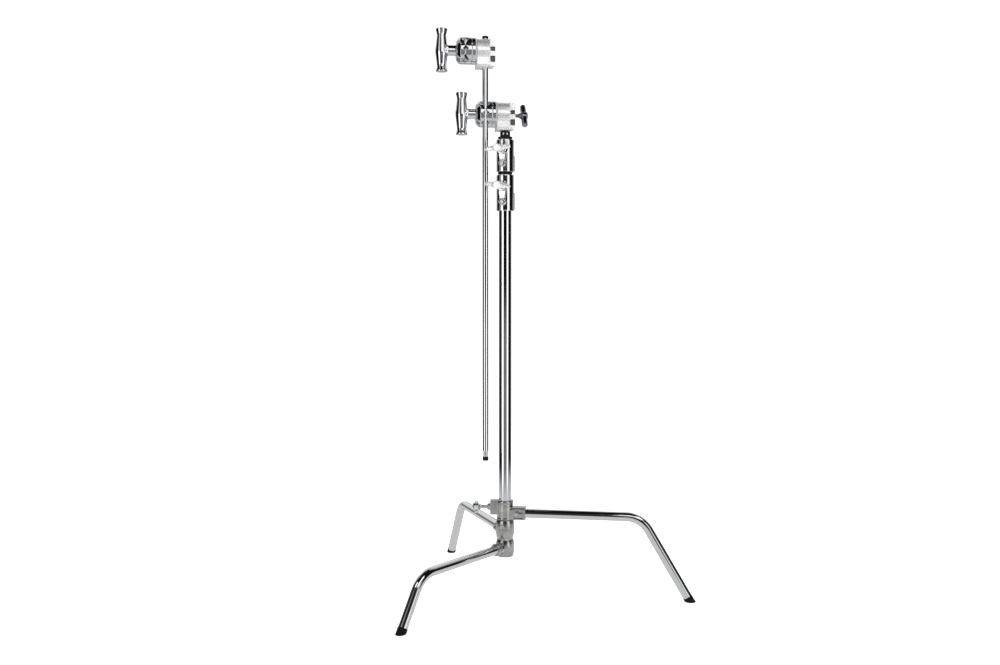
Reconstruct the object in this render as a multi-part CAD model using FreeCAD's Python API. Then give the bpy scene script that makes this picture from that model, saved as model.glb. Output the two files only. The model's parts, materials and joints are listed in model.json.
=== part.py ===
import FreeCAD, Part
import math
import os
from FreeCAD import Placement, Rotation, Vector

# A three-legged grip stand with two telescoping risers, a grip head on its stud, and a round arm with a
# second grip head, stored upright beside the column. Millimetres, +Z up, floor at Z = 0. The origin is the
# middle of the footprint's box, so the column stands off it by COLUMN_X and COLUMN_Y. Both grip heads point
# their handles along -X.

# Driving dimensions
COLUMN_X = -94.2          # column axis from the middle of the footprint's box
COLUMN_Y = -82.5
FIT = 0.05                # radial clearance of a sliding or turning fit
GAP = 0.3                 # clearance between neighbours that move apart

COLUMN_R = 17.5           # outside radii of the three telescoping tubes
RISER_1_R = 15.0
RISER_2_R = 12.5
COLUMN_WALL = 1.5
RISER_WALL = 1.5
STUD_R = 8.0              # 16 mm stud, and the 16 mm arm
HUB_BOTTOM = 108.0
LOWER_CASTING_TOP = 158.5
MIDDLE_CASTING_BOTTOM = 159.6
MIDDLE_CASTING_TOP = 213.0
BRACKET_BOTTOM = MIDDLE_CASTING_TOP + GAP
BRACKET_TOP = 267.5
COLUMN_TOP = 1122.0
LOWER_COLLAR_BOTTOM = 1075.0
LOWER_COLLAR_TOP = 1174.7
WIPER_HEIGHT = 7.0        # black ring on top of each collar
UPPER_COLLAR_BOTTOM = LOWER_COLLAR_TOP + WIPER_HEIGHT + GAP
UPPER_COLLAR_TOP = 1271.0
RISER_1_TOP = 1222.0
RISER_2_TOP = 1288.0
STUD_CAP_TOP = 1293.0
STUD_TOP = 1336.0

LEG_R = 12.7
LEG_WALL = 1.6
LEG_SLOPE = 59.5          # degrees below the horizontal
LEG_BEND_R = 70.0         # centreline radius of the bend
LEG_START = 20.0          # inner end of each leg tube, from the column axis
LOWER_LEG_Z = 133.0       # height of the lowest leg's horizontal run
LEG_SPACING = 49.0        # each leg is this much above the one below
LEG_REACH = 345.0         # column axis to the lowest leg's bend
LEG_NEST = 17.0           # each leg reaches this much further than the one below
LOWER_LEG_AZIMUTH = 223.6
MIDDLE_LEG_AZIMUTH = 103.6
TOP_LEG_AZIMUTH = -16.4
SOCKET_R = 16.5
SOCKET_END = 44.0
MOUTH_RAISE = 1.2         # rim round the mouth of each leg socket
MOUTH_LENGTH = 5.0
BELLY_R = 26.2            # barrel castings at their widest
LOWER_WAIST_R = 23.0      # lower casting at its bottom
MEETING_R = 22.8          # where the two castings meet
MIDDLE_WAIST_R = 24.0     # middle casting at its top
CROSS_BOLT_AT = 35.0      # leg bolts, from the column axis
CROSS_BOLT_R = 3.0
CROSS_BOLT_FLATS = 10.0
CROSS_BOLT_HEAD = 4.2
CROSS_BOLT_NUT = 4.5
CROSS_BOLT_SEAT = 0.6     # bolt seats stand this far off the socket
SET_SCREW_R = 2.6
COLUMN_PLUG_FLANGE = 2.0
COLUMN_PLUG_LENGTH = 9.0
LINER_R = 19.2            # plastic liner inside the sliding bracket
SLEEVE_R = 23.6
BRACKET_ARM_END = 58.0
BRACKET_ARM_HALF = 18.0   # half width; the leg's bolt crosses it
BRACKET_ARM_RISE = 17.5   # half height
EAR_END = 42.0            # block that carries the bracket's T screw
EAR_HALF = 12.0
EAR_HEIGHT = 40.0
EAR_BOSS_R = 9.0
EAR_BOSS_END = 50.0
FOOT_R = 13.3
FOOT_TOP = 14.0           # height at which each foot's axis leaves the tube
FOOT_PLUG = 22.0          # length of each foot inside its tube

LOCK_AZIMUTH = -117.0     # both collar T screws
LOWER_LOCK_Z = 1141.5
UPPER_LOCK_Z = 1241.5
LOWER_BOLT_Z = 1099.0
UPPER_BOLT_Z = 1204.5
LEG_LOCK_AZIMUTH = 172.0
LEG_LOCK_Z = 248.0
SCREW_R = 5.0             # T screw shafts and their shoes
T_BAR_HALF = 36.5
T_BAR_R = 9.2
T_BAR_TIP_R = 4.4
T_HUB_R = 11.0
COLLAR_R = 24.0
COLLAR_LOCK_REACH = 65.0  # column axis to the middle of a collar T screw's bar
LEG_LOCK_REACH = 81.0
SOCKET_SCREW_REACH = 52.0
COLLAR_BOSS_R = 13.5
COLLAR_BOSS_END = 34.5
COLLAR_BOLT_R = 3.2
COLLAR_BOLT_HEAD_R = 6.2
BOLT_BOSS_R = 9.0
BOLT_BOSS_END = 27.5      # the bolt heads sit on these bosses
RIB_END = 26.6
RIB_HALF = 7.0
RING_R = 19.7             # black rings on the collars
BUSH_1 = (120.0, 158.0)   # bottom and top of the bush at the foot of each riser
BUSH_2 = (135.0, 170.0)
CAP_R = 13.8              # black cap under the stud
STUD_LENGTH_INSIDE = 58.0

HEAD_R = 36.0             # grip head discs
HEAD_BOLT_R = 6.0
BASE_FRONT = 26.0         # socket casting, from the socket's axis towards the handle
BASE_BACK = -26.0
BASE_STEP = -10.0         # the ribbed back block starts here
BASE_TOP = 33.0
BASE_BOTTOM = -45.0
BASE_RECESSES = ((-1.5, 9.0), (-31.0, -15.5))
FRICTION_END = 29.0
BACKING_END = 38.6
JAW_FACE = 57.1           # inner jaw's gripping face
CLAMPED_GAP = 1.83        # between the jaws round a 16 mm rod
CLOSED_GAP = 0.1
OUTER_JAW_DEPTH = 22.0
GROOVE_OFFSET = 23.0      # upright rod grooves, from the head's axis
LEVEL_OFFSET = 27.0       # level rod grooves
ROD_16_R = 8.0            # rods and pins that the jaws hold
ROD_10_R = 4.76
ROD_6_R = 3.18
PIN_13_R = 6.35
BLOCK_HALF = 27.0         # half widths of the socket casting
BACK_HALF = 20.0
RECESS_DEPTH = 6.0
RIM = 1.2                 # softened rims of the discs
BEVEL_START = 13.0        # outer jaw, from its face
BEVEL_R = 27.0
SEAT_R = 16.0             # thrust washer's seat
SEAT_DEPTH = 1.5
WASHER_R = 15.6
WASHER_STAND = 0.9        # the washer stands this far off the jaw
STEM_R = 15.0
STEM_BORE = 34.0
HANDLE_REACH = 39.5       # outer jaw's back to the middle of the T handle
HANDLE_HALF = 57.5
HANDLE_BELLY_R = 17.2
HANDLE_WAIST_R = 13.2
HANDLE_LIP_R = 16.2
SOCKET_SCREW_Z = -2.5     # lower head's T screw, from the head's axis
HEAD_SCREW_R = 3.0
HEAD_SCREW_RISE = 16.0    # upper head's set screws, above and below its axis
LOWER_HEAD_Z = 1339.0
UPPER_HEAD_Z = 1504.0
ARM_X = -(JAW_FACE + CLAMPED_GAP / 2)
ARM_Y = -GROOVE_OFFSET
ARM_BOTTOM = 411.0
ARM_TOP = 1538.5
ARM_WALL = 2.0

UP = Vector(0, 0, 1)
ALONG_X = Vector(1, 0, 0)
ALONG_Y = Vector(0, 1, 0)
BIG = 400.0


# Shape helpers
def spin(outline):
    """Solid of revolution about Z. Points are (radius, height); [via, end] is an arc."""
    edges = []
    last = Vector(outline[0][0], 0, outline[0][1])
    for step in outline[1:] + outline[:1]:
        if isinstance(step, list):
            via, end = (Vector(p[0], 0, p[1]) for p in step)
            edges.append(Part.Arc(last, via, end).toShape())
        else:
            end = Vector(step[0], 0, step[1])
            if last.distanceToPoint(end) > 1e-6:
                edges.append(Part.makeLine(last, end))
        last = end
    return Part.Face(Part.Wire(edges)).revolve(Vector(), UP, 360)


def ring(inner, outer, bottom, top):
    """Upright tube."""
    return spin([(inner, bottom), (outer, bottom), (outer, top), (inner, top)])


def upright(radius, bottom, top, x=0.0, y=0.0):
    return Part.makeCylinder(radius, top - bottom, Vector(x, y, bottom), UP)


def rod_x(radius, start, end, y=0.0, z=0.0):
    return Part.makeCylinder(radius, end - start, Vector(start, y, z), ALONG_X)


def rod_y(radius, start, end, x=0.0, z=0.0):
    return Part.makeCylinder(radius, end - start, Vector(x, start, z), ALONG_Y)


def box(x0, x1, y0, y1, z0, z1):
    return Part.makeBox(x1 - x0, y1 - y0, z1 - z0, Vector(x0, y0, z0))


def round_edges(shape, radius, wanted):
    """Fillet the edges for which wanted(edge) is true."""
    return shape.makeFillet(radius, [edge for edge in shape.Edges if wanted(edge)])


def runs(edge, direction):
    """True for a straight edge parallel to direction."""
    if edge.Curve.TypeId != "Part::GeomLine":
        return False
    return abs(abs(edge.Curve.Direction.dot(direction)) - 1) < 1e-6


def turned_to(shape, azimuth, height=0.0, roll=0.0):
    """A shape drawn along +X: rolled about X, turned to an azimuth, and raised."""
    shape = shape.copy()
    shape.rotate(Vector(), ALONG_X, roll)
    shape.rotate(Vector(), UP, azimuth)
    shape.translate(Vector(0, 0, height))
    return shape


def hexagon(across_flats, start, end):
    """Hexagonal prism along X."""
    corner = across_flats / math.sqrt(3)
    points = [
        Vector(start, corner * math.cos(math.radians(a)), corner * math.sin(math.radians(a)))
        for a in range(0, 361, 60)
    ]
    return Part.Face(Part.makePolygon(points)).extrude(Vector(end - start, 0, 0))


# Legs
def leg_pipe(radius, height, bend):
    """Straight run, arc and sloping run of one leg in the XZ plane, carried on past the floor."""
    slope = math.radians(LEG_SLOPE)
    tangent = LEG_BEND_R * math.tan(slope / 2)
    start = Vector(LEG_START, 0, height)
    arc_start = Vector(bend - tangent, 0, height)
    centre = arc_start - Vector(0, 0, LEG_BEND_R)
    arc_middle = centre + Vector(math.sin(slope / 2), 0, math.cos(slope / 2)) * LEG_BEND_R
    arc_end = centre + Vector(math.sin(slope), 0, math.cos(slope)) * LEG_BEND_R
    down = Vector(math.cos(slope), 0, -math.sin(slope))
    end = arc_end + down * ((arc_end.z + LEG_R) / math.sin(slope))
    path = Part.Wire(
        [
            Part.makeLine(start, arc_start),
            Part.Arc(arc_start, arc_middle, arc_end).toShape(),
            Part.makeLine(arc_end, end),
        ]
    )
    section = Part.Face(Part.Wire([Part.Circle(start, ALONG_X, radius).toShape()]))
    return path.makePipe(section)


def below(height):
    """Everything under a height."""
    return box(-2 * BIG, 2 * BIG, -2 * BIG, 2 * BIG, -BIG, height)


def cross_bolt(half_width):
    """Bolt across a leg socket, with its head on one side and a nut on the other."""
    bolt = rod_y(CROSS_BOLT_R, -half_width - 3.0, half_width + 5.0)
    head = hexagon(CROSS_BOLT_FLATS, -half_width - CROSS_BOLT_HEAD, -half_width)
    nut = hexagon(CROSS_BOLT_FLATS, half_width, half_width + CROSS_BOLT_NUT)
    fastener = bolt
    for block in (head, nut):
        block.rotate(Vector(), UP, 90)
        fastener = fastener.fuse(block)
    fastener.translate(Vector(CROSS_BOLT_AT, 0, 0))
    return fastener.removeSplitter()


def leg_parts(name, azimuth, level, socket_half):
    """Tube, foot and bolt of one leg. level counts legs up from the lowest."""
    height = LOWER_LEG_Z + level * LEG_SPACING
    bend = LEG_REACH + level * LEG_NEST
    bolt = cross_bolt(socket_half)
    bolt.translate(Vector(0, 0, height))
    bore_r = LEG_R - LEG_WALL
    slope = math.radians(LEG_SLOPE)
    down = Vector(math.cos(slope), 0, -math.sin(slope))
    tube_end = Vector(bend + (height - FOOT_TOP) / math.tan(slope), 0, FOOT_TOP)
    beyond = Part.makeCylinder(2 * LEG_R, 4 * LEG_R, tube_end, down)
    tube = leg_pipe(LEG_R, height, bend).cut(leg_pipe(bore_r, height, bend)).cut(beyond).cut(bolt)
    cap = Part.makeCylinder(FOOT_R, 2 * LEG_R, tube_end, down)
    plug = Part.makeCylinder(bore_r, FOOT_PLUG + LEG_R, tube_end - down * FOOT_PLUG, down)
    foot = cap.fuse(plug).cut(below(0)).removeSplitter()
    parts = {name + "_leg_tube": tube, name + "_leg_foot": foot, name + "_leg_bolts": bolt}
    return {key: turned_to(shape, azimuth) for key, shape in parts.items()}


def leg_casting(bottom, top, waist_below, waist_above, level, azimuth):
    """Barrel-shaped casting with one leg socket. level counts legs up from the lowest."""
    height = LOWER_LEG_Z + level * LEG_SPACING
    middle = (bottom + top) / 2
    outline = [
        (0, bottom),
        (waist_below - 1.5, bottom),
        (waist_below, bottom + 1.5),
        [(BELLY_R, middle), (waist_above, top - 1.0)],
        (waist_above - 1.0, top),
        (0, top),
    ]
    socket = rod_x(SOCKET_R, 0, SOCKET_END, z=height)
    mouth = rod_x(SOCKET_R + MOUTH_RAISE, SOCKET_END - MOUTH_LENGTH, SOCKET_END, z=height)
    body = spin(outline).fuse(turned_to(socket.fuse(mouth), azimuth))
    tube_hole = turned_to(rod_x(LEG_R, LEG_START, BIG, z=height), azimuth)
    bolt = cross_bolt(SOCKET_R + CROSS_BOLT_SEAT)
    bolt.translate(Vector(0, 0, height))
    return body.cut(tube_hole).cut(turned_to(bolt, azimuth)).removeSplitter()


def set_screw(length):
    """Socket set screw along X with its hexagon recess at the outer end."""
    recess_depth = 1.8
    return rod_x(SET_SCREW_R, -length, 0).cut(hexagon(SET_SCREW_R, -recess_depth, 1))


def lower_hub():
    """Fixed lower casting, its leg, the column tube and its plug."""
    screw_azimuths = (-74, 60)
    screw_z = LOWER_CASTING_TOP - 8.0
    screw_reach = 23.6
    screws = [turned_to(set_screw(6.0), a, screw_z) for a in screw_azimuths]
    for screw, azimuth in zip(screws, screw_azimuths):
        direction = math.radians(azimuth)
        screw.translate(Vector(math.cos(direction), math.sin(direction), 0) * screw_reach)
    pins = Part.makeCompound(screws)
    casting = leg_casting(HUB_BOTTOM, LOWER_CASTING_TOP, LOWER_WAIST_R, MEETING_R, 0, LOWER_LEG_AZIMUTH)
    casting = casting.cut(upright(COLUMN_R, 0, BIG)).cut(pins)
    bore_r = COLUMN_R - COLUMN_WALL
    tube_bottom = HUB_BOTTOM + COLUMN_PLUG_FLANGE
    column = ring(bore_r, COLUMN_R, tube_bottom, COLUMN_TOP)
    plug = upright(COLUMN_R, HUB_BOTTOM, tube_bottom)
    plug = plug.fuse(upright(bore_r, tube_bottom, HUB_BOTTOM + COLUMN_PLUG_LENGTH))
    washer_r = 21.5
    washer = ring(COLUMN_R, washer_r, LOWER_CASTING_TOP, MIDDLE_CASTING_BOTTOM - 0.2)
    parts = leg_parts("lower", LOWER_LEG_AZIMUTH, 0, SOCKET_R + CROSS_BOLT_SEAT)
    parts["lower_leg_casting"] = casting
    parts["column_tube"] = column.cut(collar_bolt(bore_r, LOWER_BOLT_Z))
    parts["column_bottom_plug"] = plug.removeSplitter()
    parts["column_set_screws"] = pins
    parts["hub_thrust_washer"] = washer
    return parts


def middle_hub():
    """Middle casting that turns round the column, with its leg."""
    azimuth = -154
    screw_reach = 24.2
    direction = math.radians(azimuth)
    screw = turned_to(set_screw(5.0), azimuth, MIDDLE_CASTING_TOP - 6.0)
    screw.translate(Vector(math.cos(direction), math.sin(direction), 0) * screw_reach)
    casting = leg_casting(
        MIDDLE_CASTING_BOTTOM, MIDDLE_CASTING_TOP, MEETING_R, MIDDLE_WAIST_R, 1, MIDDLE_LEG_AZIMUTH
    )
    parts = leg_parts("middle", MIDDLE_LEG_AZIMUTH, 1, SOCKET_R + CROSS_BOLT_SEAT)
    parts["middle_leg_casting"] = casting.cut(upright(COLUMN_R + FIT, 0, BIG)).cut(screw)
    parts["middle_casting_screw"] = screw
    return parts


def sliding_bracket():
    """Bracket of the top leg, which slides on a liner and is locked by its T screw."""
    height = LOWER_LEG_Z + 2 * LEG_SPACING
    sleeve = spin(
        [
            (0, BRACKET_BOTTOM),
            (SLEEVE_R - 1, BRACKET_BOTTOM),
            (SLEEVE_R, BRACKET_BOTTOM + 1),
            (SLEEVE_R, BRACKET_TOP - 2),
            (SLEEVE_R - 2, BRACKET_TOP),
            (0, BRACKET_TOP),
        ]
    )
    half = BRACKET_ARM_HALF
    arm = box(0, BRACKET_ARM_END, -half, half, height - BRACKET_ARM_RISE, height + BRACKET_ARM_RISE)
    arm = round_edges(arm, 6.0, lambda edge: runs(edge, ALONG_X))
    ear = box(0, EAR_END, -EAR_HALF, EAR_HALF, BRACKET_TOP - EAR_HEIGHT, BRACKET_TOP)
    ear = round_edges(ear, 3.0, lambda edge: runs(edge, ALONG_Y))
    ear = ear.fuse(rod_x(EAR_BOSS_R, 0, EAR_BOSS_END, z=LEG_LOCK_Z))
    screw_hole = rod_x(SCREW_R + FIT, 0, BIG, z=LEG_LOCK_Z)
    cutters = [
        upright(LINER_R + FIT, 0, BIG),
        turned_to(rod_x(LEG_R, LEG_START, BIG, z=height), TOP_LEG_AZIMUTH),
        turned_to(screw_hole, LEG_LOCK_AZIMUTH),
    ]
    parts = leg_parts("top", TOP_LEG_AZIMUTH, 2, BRACKET_ARM_HALF)
    body = sleeve.fuse(turned_to(arm, TOP_LEG_AZIMUTH)).fuse(turned_to(ear, LEG_LOCK_AZIMUTH))
    for cutter in cutters + [parts["top_leg_bolts"]]:
        body = body.cut(cutter)
    liner = ring(COLUMN_R + FIT, LINER_R, BRACKET_BOTTOM, BRACKET_TOP)
    shoe, screw = lock_screw(LINER_R + GAP, 3.5, LEG_LOCK_REACH)
    parts["sliding_leg_bracket"] = body.removeSplitter()
    parts["slider_liner"] = liner
    parts["leg_lock_shoe"] = turned_to(shoe, LEG_LOCK_AZIMUTH, LEG_LOCK_Z)
    parts["leg_lock_screw"] = turned_to(screw, LEG_LOCK_AZIMUTH, LEG_LOCK_Z, roll=-12)
    return parts


# Lock screws and collars
def t_bar(centre):
    """Tapered cross bar with its hub. The bar lies along Y, the screw along X."""
    half = T_BAR_HALF
    end_r = 2.6
    outline = [
        (0, -half),
        (end_r, -half),
        (T_BAR_TIP_R, -half + 2.4),
        (T_BAR_R, -9),
        (T_BAR_R, 9),
        (T_BAR_TIP_R, half - 2.4),
        (end_r, half),
        (0, half),
    ]
    bar = spin(outline)
    bar.rotate(Vector(), ALONG_X, 90)
    bar.translate(Vector(centre, 0, 0))
    hub = Part.makeCone(7.5, T_HUB_R, 9.0, Vector(centre - 15, 0, 0), ALONG_X)
    hub = hub.fuse(rod_x(T_HUB_R, centre - 6, centre + 8))
    hub = hub.fuse(Part.makeCone(T_HUB_R, T_HUB_R - 2, 2.0, Vector(centre + 8, 0, 0), ALONG_X))
    return bar.fuse(hub)


def lock_screw(start, shoe_length, reach):
    """Shoe and T screw along X. The shoe begins at start and the bar is at reach."""
    shoe = rod_x(SCREW_R, start, start + shoe_length)
    shaft = rod_x(SCREW_R, start + shoe_length + FIT, reach)
    return shoe, shaft.fuse(t_bar(reach)).removeSplitter()


def collar_bolt(inner, height):
    """Two bolts through a collar into the tube end it holds, one at the front and one at the back."""
    shank = rod_x(COLLAR_BOLT_R, inner, BOLT_BOSS_END)
    crown = BOLT_BOSS_END + 2.5
    head = rod_x(COLLAR_BOLT_HEAD_R, BOLT_BOSS_END, crown)
    head = head.fuse(Part.makeCone(COLLAR_BOLT_HEAD_R, 4.4, 1.5, Vector(crown, 0, 0), ALONG_X))
    bolt = shank.fuse(head).cut(hexagon(5.0, crown - 0.8, crown + 2)).removeSplitter()
    return Part.makeCompound(
        [turned_to(bolt, azimuth, height) for azimuth in (LOCK_AZIMUTH, LOCK_AZIMUTH + 180)]
    )


def collar(name, outer_tube_r, inner_tube_r, bottom, top, tube_top, lock_z, bolt_z):
    """Collar on top of one tube, holding the next tube with a T screw, and its black ring."""
    body = spin(
        [
            (0, bottom),
            (COLLAR_R - 1.5, bottom),
            (COLLAR_R, bottom + 1.5),
            (COLLAR_R, top - 3),
            [(COLLAR_R - 0.9, top - 0.9), (COLLAR_R - 3, top)],
            (0, top),
        ]
    )
    chamfer = 1.5
    shoulder = COLLAR_BOSS_END - chamfer
    boss = rod_x(COLLAR_BOSS_R, 0, shoulder)
    boss = boss.fuse(
        Part.makeCone(COLLAR_BOSS_R, COLLAR_BOSS_R - chamfer, chamfer, Vector(shoulder, 0, 0), ALONG_X)
    )
    bolt_boss = rod_x(BOLT_BOSS_R, -BOLT_BOSS_END, BOLT_BOSS_END)
    rib = box(0, RIB_END, -RIB_HALF, RIB_HALF, bottom + 2, (bottom + top) / 2)
    rib = round_edges(rib, 2.5, lambda edge: edge.CenterOfMass.x > RIB_END - 0.5)
    body = body.fuse(turned_to(boss, LOCK_AZIMUTH, lock_z))
    body = body.fuse(turned_to(bolt_boss, LOCK_AZIMUTH, bolt_z))
    body = body.fuse(turned_to(rib, -8))
    bolts = collar_bolt(outer_tube_r - COLUMN_WALL, bolt_z)
    cutters = [
        upright(outer_tube_r, bottom - 1, tube_top),
        upright(inner_tube_r + FIT, bottom - 1, top + 1),
        turned_to(rod_x(SCREW_R + FIT, 0, BIG), LOCK_AZIMUTH, lock_z),
        bolts,
    ]
    for cutter in cutters:
        body = body.cut(cutter)
    wiper = spin(
        [
            (inner_tube_r + FIT, top),
            (RING_R, top),
            (RING_R, top + WIPER_HEIGHT - 1),
            (RING_R - 1, top + WIPER_HEIGHT),
            (inner_tube_r + FIT, top + WIPER_HEIGHT),
        ]
    )
    shoe, screw = lock_screw(inner_tube_r + GAP, 4.0, COLLAR_LOCK_REACH)
    roll = 4.4 if name == "upper" else -8.2
    return {
        name + "_collar": body.removeSplitter(),
        name + "_collar_bolts": bolts,
        name + "_collar_ring": wiper,
        name + "_collar_shoe": turned_to(shoe, LOCK_AZIMUTH, lock_z),
        name + "_collar_lock": turned_to(screw, LOCK_AZIMUTH, lock_z, roll=roll),
    }


# Column above the hub
def risers():
    """Both telescoping tubes, their bushes, and the stud on top."""
    bore_1 = RISER_1_R - RISER_WALL
    bore_2 = RISER_2_R - RISER_WALL
    bush_1 = ring(RISER_1_R, COLUMN_R - COLUMN_WALL - FIT, *BUSH_1)
    bush_2 = ring(RISER_2_R, bore_1 - FIT, *BUSH_2)
    riser_1 = ring(bore_1, RISER_1_R, BUSH_1[0], RISER_1_TOP)
    riser_2 = ring(bore_2, RISER_2_R, BUSH_2[0], RISER_2_TOP)
    cap_bottom = UPPER_COLLAR_TOP + WIPER_HEIGHT + GAP
    cap = spin(
        [
            (0, cap_bottom),
            (CAP_R, cap_bottom),
            (CAP_R, STUD_CAP_TOP - 1.5),
            (CAP_R - 1.5, STUD_CAP_TOP),
            (0, STUD_CAP_TOP),
        ]
    )
    rivet_seat = CAP_R + 0.2
    rivet = rod_x(1.8, CAP_R - 1, rivet_seat)
    rivet = rivet.fuse(Part.makeCone(2.4, 1.6, 0.9, Vector(rivet_seat, 0, 0), ALONG_X))
    rivet_z = (cap_bottom + STUD_CAP_TOP) / 2
    rivets = Part.makeCompound([turned_to(rivet, a, rivet_z) for a in (-117, -73, 63, 107)])
    stud = spin(
        [
            (0, RISER_2_TOP - STUD_LENGTH_INSIDE),
            (bore_2, RISER_2_TOP - STUD_LENGTH_INSIDE),
            (bore_2, RISER_2_TOP),
            (STUD_R, RISER_2_TOP),
            (STUD_R, STUD_TOP - 1.2),
            (STUD_R - 1.2, STUD_TOP),
            (0, STUD_TOP),
        ]
    )
    cap = cap.cut(upright(RISER_2_R, 0, RISER_2_TOP)).cut(stud).cut(rivets)
    return {
        "riser_1_tube": riser_1.cut(collar_bolt(bore_1, UPPER_BOLT_Z)),
        "riser_1_bush": bush_1,
        "riser_2_tube": riser_2,
        "riser_2_bush": bush_2,
        "stud_cap": cap,
        "stud_cap_rivets": rivets,
        "stud": stud,
    }


# Grip heads, drawn about their own socket axis with the handle along +X
def groove(rod_radius, start, end):
    """V groove cutter along Y, centred on the clamped rod's axis plane at X = 0."""
    depth = (rod_radius + FIT) * math.sqrt(2)
    points = [Vector(-depth, start, 0), Vector(0, start, depth), Vector(depth, start, 0)]
    points.append(Vector(0, start, -depth))
    return Part.Face(Part.makePolygon(points + points[:1])).extrude(Vector(0, end - start, 0))


def jaw_grooves(clamp_plane):
    """All the grooves, with the rods' axes in the plane X = clamp_plane."""
    pin_start = 14.0
    cutters = [groove(PIN_13_R, pin_start, BIG)]
    for radius, offset in ((ROD_16_R, GROOVE_OFFSET), (ROD_10_R, -GROOVE_OFFSET)):
        upright_rod = groove(radius, -BIG, BIG)
        upright_rod.rotate(Vector(), ALONG_X, 90)
        upright_rod.translate(Vector(0, offset, 0))
        cutters.append(upright_rod)
    for radius, offset in ((ROD_10_R, -LEVEL_OFFSET), (ROD_6_R, LEVEL_OFFSET)):
        level_rod = groove(radius, -BIG, BIG)
        level_rod.translate(Vector(0, 0, offset))
        cutters.append(level_rod)
    for cutter in cutters:
        cutter.translate(Vector(clamp_plane, 0, 0))
    return cutters


def socket_casting():
    """Body with the 16 mm socket: a disc over a block, and a ribbed back block."""
    disc = rod_x(BASE_TOP, BASE_STEP, BASE_FRONT)
    block = box(BASE_STEP, BASE_FRONT, -BLOCK_HALF, BLOCK_HALF, BASE_BOTTOM, 0)
    block = round_edges(block, 6.0, lambda e: runs(e, ALONG_X) and e.CenterOfMass.z < -10)
    back = box(BASE_BACK, BASE_STEP, -BACK_HALF, BACK_HALF, BASE_BOTTOM + 2, BASE_TOP - 1)
    back = round_edges(back, 10.0, lambda e: runs(e, ALONG_Y) and e.CenterOfMass.x < BASE_BACK + 1)
    for low, high in BASE_RECESSES:
        for side in (-BACK_HALF, BACK_HALF):
            y0 = side - RECESS_DEPTH
            back = back.cut(box(BASE_BACK - 1, BASE_STEP - 2, y0, y0 + 2 * RECESS_DEPTH, low, high))
    body = disc.fuse(block).fuse(back)
    return body.cut(upright(STUD_R + FIT, -BIG, BIG)).cut(rod_x(HEAD_BOLT_R, 0, BIG))


def jaw_disc(start, end):
    """Disc with softened rims."""
    disc = rod_x(HEAD_R, start + RIM, end - RIM)
    disc = disc.fuse(Part.makeCone(HEAD_R - RIM, HEAD_R, RIM, Vector(start, 0, 0), ALONG_X))
    return disc.fuse(Part.makeCone(HEAD_R, HEAD_R - RIM, RIM, Vector(end - RIM, 0, 0), ALONG_X))


def outer_jaw(face):
    """Jaw under the handle, with a long bevel and a seat for the thrust washer."""
    shoulder = face + BEVEL_START
    back = face + OUTER_JAW_DEPTH
    body = rod_x(HEAD_R, face + 1, shoulder)
    body = body.fuse(Part.makeCone(HEAD_R - 1, HEAD_R, 1, Vector(face, 0, 0), ALONG_X))
    bevel = Part.makeCone(HEAD_R, BEVEL_R, back - shoulder, Vector(shoulder, 0, 0), ALONG_X)
    return body.fuse(bevel).cut(rod_x(SEAT_R, back - SEAT_DEPTH, BIG)).removeSplitter()


def handle(start):
    """T handle with its stem. The grip bar is upright."""
    bar_x = start + HANDLE_REACH - 1
    end_r = 14.0
    near_lip_r = 15.6
    waist = HANDLE_HALF - 11
    grip = spin(
        [
            (0, -HANDLE_HALF),
            (end_r, -HANDLE_HALF),
            [(near_lip_r, -HANDLE_HALF + 0.7), (HANDLE_LIP_R, -HANDLE_HALF + 2.2)],
            [(near_lip_r, -HANDLE_HALF + 5.5), (HANDLE_WAIST_R, -waist)],
            [(HANDLE_BELLY_R, 0), (HANDLE_WAIST_R, waist)],
            [(near_lip_r, HANDLE_HALF - 5.5), (HANDLE_LIP_R, HANDLE_HALF - 2.2)],
            [(near_lip_r, HANDLE_HALF - 0.7), (end_r, HANDLE_HALF)],
            (0, HANDLE_HALF),
        ]
    )
    grip.translate(Vector(bar_x, 0, 0))
    stem = rod_x(STEM_R, start, bar_x)
    thread_gap = 0.08
    return grip.fuse(stem).cut(rod_x(HEAD_BOLT_R + thread_gap, start - 1, start + STEM_BORE))


def grip_head(name, gap):
    """All the pieces of one head but its socket screws, at the origin with the handle along +X."""
    clamp_plane = JAW_FACE + CLAMPED_GAP / 2
    outer_face = JAW_FACE + gap
    outer_back = outer_face + OUTER_JAW_DEPTH
    bolt_hole = rod_x(HEAD_BOLT_R + GAP, 0, BIG)
    inner = jaw_disc(BACKING_END + 0.1, JAW_FACE)
    for cutter in jaw_grooves(clamp_plane):
        inner = inner.cut(cutter)
    outer = outer_jaw(outer_face)
    for cutter in jaw_grooves(outer_face - CLAMPED_GAP / 2):
        outer = outer.cut(cutter)
    washer = rod_x(WASHER_R, outer_back - SEAT_DEPTH, outer_back + WASHER_STAND).cut(bolt_hole)
    bolt_start = STUD_R + 1.5
    return {
        name + "_head_base": socket_casting(),
        name + "_head_bolt": rod_x(HEAD_BOLT_R, bolt_start, outer_back + STEM_BORE - 4),
        name + "_head_friction_washer": rod_x(HEAD_R - 1, BASE_FRONT + 0.1, FRICTION_END).cut(bolt_hole),
        name + "_head_backing_disc": jaw_disc(FRICTION_END, BACKING_END).cut(bolt_hole),
        name + "_head_inner_jaw": inner.cut(bolt_hole),
        name + "_head_outer_jaw": outer.cut(bolt_hole),
        name + "_head_thrust_washer": washer,
        name + "_head_handle": handle(outer_back + WASHER_STAND + 0.1),
    }


def place_head(parts, x, y, z):
    """Turn a head's handle to -X and put its socket axis in place."""
    placed = {}
    for name, shape in parts.items():
        shape = shape.copy()
        shape.rotate(Vector(), UP, 180)
        shape.translate(Vector(x, y, z))
        placed[name] = shape
    return placed


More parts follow.
